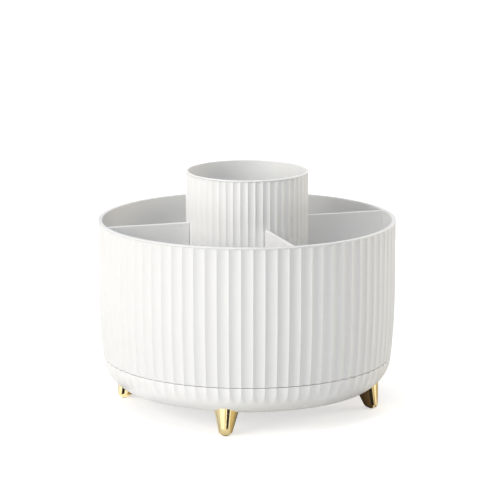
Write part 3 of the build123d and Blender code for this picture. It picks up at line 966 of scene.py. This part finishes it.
def place_effect(tree, name, inputs):
    """Put one of the effects in a material with its own values."""
    made = tree.nodes.new("ShaderNodeGroup")
    made.node_tree = EFFECTS[name]
    made.label = name
    for label, value in inputs.items():
        made.inputs[label].default_value = value
    return made.outputs


def shaded(name, constants):
    """New material with one shader, and the constants set on its own sockets."""
    material = bpy.data.materials.new(name)
    material.use_nodes = True
    tree = material.node_tree
    tree.nodes.clear()
    shader = add(tree, "BsdfPrincipled", constants)
    output = tree.nodes.new("ShaderNodeOutputMaterial")
    tree.links.new(shader.outputs[0], output.inputs["Surface"])
    return material, tree, shader.inputs


def dulled(tree, rough, *marks):
    """Roughness with a share of each mask added to it, a minus share where it shines."""
    for mask, share in marks:
        rough = sums(tree, "ADD", rough, sums(tree, "MULTIPLY", mask, share))
    return rough


def raised(tree, height, depth, strength):
    """Bump from a height, as deep as a distance in millimetres."""
    bump = add(tree, "Bump", {"Height": height, "Distance": depth * MM, "Strength": strength})
    return bump.outputs["Normal"]


def paler(colour, share):
    """A colour lightened or darkened by a share."""
    return (*[min(part * share, 1.0) for part in colour[:3]], 1.0)


def moulded_plastic(name, colour, rough, grain, flow, drift):
    """Plastic moulding with its own shade, gloss and wear."""
    material, tree, shader = shaded(name, {"IOR": 1.5, "Specular IOR Level": 0.5})
    skin = place_effect(
        tree,
        "moulded_skin",
        {
            "Colour": colour,
            "Flow Colour": paler(colour, flow),
            "Roughness": rough,
            "Roughness Drift": drift,
            "Grain Size": grain,
        },
    )
    smudge = place_effect(tree, "finger_marks", PLASTIC_MARKS)["Mask"]
    lying = place_effect(tree, "settled_dust", PLASTIC_DUST)["Mask"]
    worn = place_effect(tree, "rubbed_edges", RIDGE_RUB)["Mask"]
    fine = place_effect(tree, "fine_scratches", PLASTIC_SCRATCHES)["Mask"]
    clean = tinted(tree, worn, skin["Colour"], paler(colour, 1.03))
    dusty = tinted(tree, lying, clean, DUST_GREY)
    marks = ((worn, -0.08), (smudge, 0.12), (fine, 0.1), (lying, 0.5))
    matt = dulled(tree, skin["Roughness"], *marks)
    height = sums(tree, "SUBTRACT", skin["Height"], sums(tree, "MULTIPLY", fine, 0.6))
    tree.links.new(dusty, shader["Base Color"])
    tree.links.new(matt, shader["Roughness"])
    tree.links.new(raised(tree, height, depth=0.006, strength=0.5), shader["Normal"])
    return material


def gold_plate():
    """Bright gold plating of the feet, with smudges and rubbed soles."""
    material, tree, shader = shaded("gold_plate", {"Metallic": 1.0})
    smudge = place_effect(tree, "finger_marks", GOLD_MARKS)["Mask"]
    worn = place_effect(tree, "rubbed_edges", FOOT_RUB)["Mask"]
    fine = place_effect(tree, "fine_scratches", GOLD_SCRATCHES)["Mask"]
    place = add(tree, "TexCoord").outputs["Object"]
    warmth = spread(tree, noise(tree, place, 120.0, 3.0), 0.35, 0.65)
    plate = tinted(tree, warmth, GOLD_DEEP, GOLD_PALE)
    rubbed = tinted(tree, worn, plate, GOLD_RUBBED)
    dull = tinted(tree, smudge, rubbed, GOLD_SMUDGED)
    rough = dulled(tree, GOLD_ROUGHNESS, (smudge, 0.08), (fine, 0.15), (worn, 0.06))
    peel = noise(tree, place, 900.0, 2.0)
    height = sums(tree, "SUBTRACT", peel, sums(tree, "MULTIPLY", fine, 0.7))
    tree.links.new(dull, shader["Base Color"])
    tree.links.new(rough, shader["Roughness"])
    tree.links.new(raised(tree, height, depth=0.004, strength=0.4), shader["Normal"])
    return material


def bright_steel(name, dark, light, rough, ringed):
    """Steel with hairlines, and with rings round the axis where it was turned."""
    material, tree, shader = shaded(name, {"Metallic": 1.0})
    fine = place_effect(tree, "fine_scratches", STEEL_SCRATCHES)["Mask"]
    smudge = place_effect(tree, "finger_marks", STEEL_MARKS)["Mask"]
    worn = place_effect(tree, "rubbed_edges", STEEL_RUB)["Mask"]
    place = add(tree, "TexCoord").outputs["Object"]
    tone = spread(tree, noise(tree, place, 90.0, 4.0), 0.3, 0.7)
    height = sums(tree, "MULTIPLY", fine, -0.7)
    if ringed:
        rings = place_effect(tree, "turned_rings", STEEL_RINGS)
        tone = sums(tree, "MULTIPLY", tone, spread(tree, rings["Mask"], 0.0, 1.0, 0.6, 1.0))
        height = sums(tree, "ADD", height, rings["Height"])
    else:
        height = sums(tree, "ADD", height, noise(tree, place, 1500.0, 2.0))
    steel = tinted(tree, tone, dark, light)
    steel = tinted(tree, worn, steel, RUBBED_STEEL)
    gloss = dulled(tree, rough, (smudge, 0.15), (fine, 0.2))
    tree.links.new(steel, shader["Base Color"])
    tree.links.new(gloss, shader["Roughness"])
    tree.links.new(raised(tree, height, depth=0.004, strength=0.4), shader["Normal"])
    return material


def soft_rubber():
    """Matt grey rubber of the pads, scuffed where it stands."""
    material, tree, shader = shaded("pad_rubber", {"IOR": 1.45})
    skin = place_effect(tree, "moulded_skin", PAD_SKIN)
    worn = place_effect(tree, "rubbed_edges", PAD_RUB)["Mask"]
    scuffed = tinted(tree, worn, skin["Colour"], RUBBED_RUBBER)
    tree.links.new(scuffed, shader["Base Color"])
    tree.links.new(skin["Roughness"], shader["Roughness"])
    bump = raised(tree, skin["Height"], depth=0.02, strength=0.6)
    tree.links.new(bump, shader["Normal"])
    return material


FINISHES = {slot: moulded_plastic(slot, *values) for slot, values in PLASTICS.items()}
FINISHES["foot_gold"] = gold_plate()
FINISHES["pad_rubber"] = soft_rubber()
FINISHES.update({slot: bright_steel(slot, *values) for slot, values in STEELS.items()})


def dress(piece, slot):
    """Give a piece its slot's finish."""
    piece.data.materials.clear()
    piece.data.materials.append(FINISHES[slot])


def fit_piece(piece, body, slot, *nodes):
    """Put a finished piece on its body, in the place of its CAD nodes."""
    dress(piece, slot)
    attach(piece, body)
    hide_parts(*nodes)


fit_piece(drum_piece(), "drum", "drum_plastic", "drum_shell")
fit_piece(cup_piece(), "cup", "cup_plastic", "centre_cup")
fit_piece(base_piece(), "base", "base_plastic", "base_shell")
fit_piece(rib_piece(), "base", "base_plastic", "base_shell")
for number, azimuth in enumerate(quarter_turns(FOOT_AZIMUTH), start=1):
    fit_piece(foot_piece(number, azimuth), "base", "foot_gold", f"foot_{number}")
for number, azimuth in enumerate(quarter_turns(DIVIDER_AZIMUTH), start=1):
    fit_piece(divider_piece(number, azimuth), "drum", "divider_plastic", f"divider_{number}")

# CAD nodes that show as they are, each with its finish
KEPT_NODES = {
    "foot_pad_1": "pad_rubber",
    "foot_pad_2": "pad_rubber",
    "foot_pad_3": "pad_rubber",
    "foot_pad_4": "pad_rubber",
    "foot_screws": "screw_steel",
    "lower_race": "race_steel",
    "upper_race": "race_steel",
    "ball_cage": "cage_plastic",
    "bearing_balls": "ball_steel",
    "centre_bolt": "bolt_steel",
    "lower_race_screws": "screw_steel",
    "upper_race_screws": "screw_steel",
}
for node_name, slot in KEPT_NODES.items():
    dress(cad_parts[node_name], slot)


def floor_piece():
    """Wide pale floor under the organizer."""
    bm = bmesh.new()
    bmesh.ops.create_grid(bm, x_segments=1, y_segments=1, size=FLOOR_REACH)
    mesh = bpy.data.meshes.new("studio_floor")
    bm.to_mesh(mesh)
    bm.free()
    return linked("studio_floor", mesh)


def flag_cloth(name, dark, light):
    """Matt cloth of a card, with a fine nap, seen only as a painted reflection in the feet."""
    material, tree, shader = shaded(name, {"Roughness": 1.0})
    place = add(tree, "TexCoord").outputs["Object"]
    nap = noise(tree, place, 900.0, 2.0)
    tree.links.new(tinted(tree, nap, dark, light), shader["Base Color"])
    return material


def painted_reflection_cards():
    """Cards that lie by the feet and show only in the feet's own polish, where they paint
    reflections and shade.
    """
    bm = bmesh.new()
    for number, low, high, near, far, cloth in FLAGS:
        foot = place_at(FOOT_AZIMUTH + 90.0 * number) @ Vector((0, -FLAG_CENTRE, 0))
        made = bmesh.ops.create_grid(bm, x_segments=FLAG_STEPS, y_segments=1, size=0.5)["verts"]
        for vert in made:
            reach = near if vert.co.y > 0 else far
            angle = math.radians(low + (high - low) * (vert.co.x + 0.5))
            spot = Vector((reach * math.sin(angle), -reach * math.cos(angle), FLAG_LEVEL))
            vert.co = (spot + foot) * MM
        for face in set(face for vert in made for face in vert.link_faces):
            face.material_index = cloth
    mesh = bpy.data.meshes.new("painted_reflection_cards")
    bm.to_mesh(mesh)
    bm.free()
    cards = linked("painted_reflection_cards", mesh)
    cards.visible_camera = False
    cards.visible_diffuse = False
    cards.visible_shadow = False
    cards.visible_transmission = False
    for name, (dark, light) in CLOTHS.items():
        mesh.materials.append(flag_cloth(name, dark, light))
    return cards


def background_share(tree):
    """One for the rays that see the background, nought for those that carry light."""
    path = add(tree, "LightPath").outputs
    seen = sums(tree, "MAXIMUM", path["Is Camera Ray"], path["Is Glossy Ray"])
    return sums(tree, "MAXIMUM", seen, path["Is Transmission Ray"])


def floor_paper():
    """Pale floor that reads white to the camera and keeps the shadow."""
    constants = {"Specular IOR Level": 0.1, "Roughness": 0.9, "Emission Color": WHITE}
    material, tree, shader = shaded("floor_paper", constants)
    place = add(tree, "TexCoord").outputs["Object"]
    fibre = spread(tree, noise(tree, place, 30.0, 4.0), 0.3, 0.7)
    tree.links.new(tinted(tree, fibre, *FLOOR_PAPER), shader["Base Color"])
    away = add(tree, "VectorMath", {0: place}, operation="LENGTH").outputs["Value"]
    lift = spread(tree, away, FLOOR_NEAR, FLOOR_FAR, FLOOR_LIFT, 1.0)
    seen = sums(tree, "MULTIPLY", background_share(tree), lift)
    tree.links.new(seen, shader["Emission Strength"])
    return material


def studio_world():
    """White surroundings that light the object less than they show."""
    world = bpy.data.worlds.new("studio")
    world.use_nodes = True
    tree = world.node_tree
    tree.nodes.clear()
    share = background_share(tree)
    strength = spread(tree, share, 0.0, 1.0, WORLD_LIGHT, 1.0)
    shade = tinted(tree, share, WORLD_SHADE, WHITE)
    shown = add(tree, "Background", {"Color": shade, "Strength": strength})
    output = tree.nodes.new("ShaderNodeOutputWorld")
    tree.links.new(shown.outputs[0], output.inputs["Surface"])
    bpy.context.scene.world = world


def softbox(name, place, size, power, colour):
    """Square lamp that faces the organizer."""
    light = bpy.data.lights.new(name, "AREA")
    light.shape = "SQUARE"
    light.size = size
    light.energy = power
    light.color = colour
    lamp = bpy.data.objects.new(name, light)
    lamp.location = place
    aim = Vector((0, 0, SOFTBOX_AIM_LEVEL)) - lamp.location
    lamp.rotation_euler = aim.to_track_quat("-Z", "Y").to_euler()
    bpy.context.scene.collection.objects.link(lamp)


def studio_camera():
    """Camera at the photograph's distance, height and framing."""
    tilt = math.radians(CAMERA_TILT)
    data = bpy.data.cameras.new("studio_camera")
    data.lens = CAMERA_LENS
    data.sensor_width = CAMERA_SENSOR
    data.shift_x = CAMERA_SHIFT
    data.clip_start = CAMERA_NEAR
    camera = bpy.data.objects.new("studio_camera", data)
    drop = CAMERA_DISTANCE * math.sin(tilt)
    camera.location = (0, -CAMERA_DISTANCE * math.cos(tilt), CAMERA_AIM_LEVEL + drop)
    camera.rotation_euler = (math.radians(90) - tilt, 0, 0)
    bpy.context.scene.collection.objects.link(camera)
    bpy.context.scene.camera = camera


floor = floor_piece()
floor.data.materials.append(floor_paper())
flags = painted_reflection_cards()
studio_world()
for box in SOFTBOXES:
    softbox(*box)
studio_camera()
bpy.context.scene.view_settings.view_transform = "Standard"
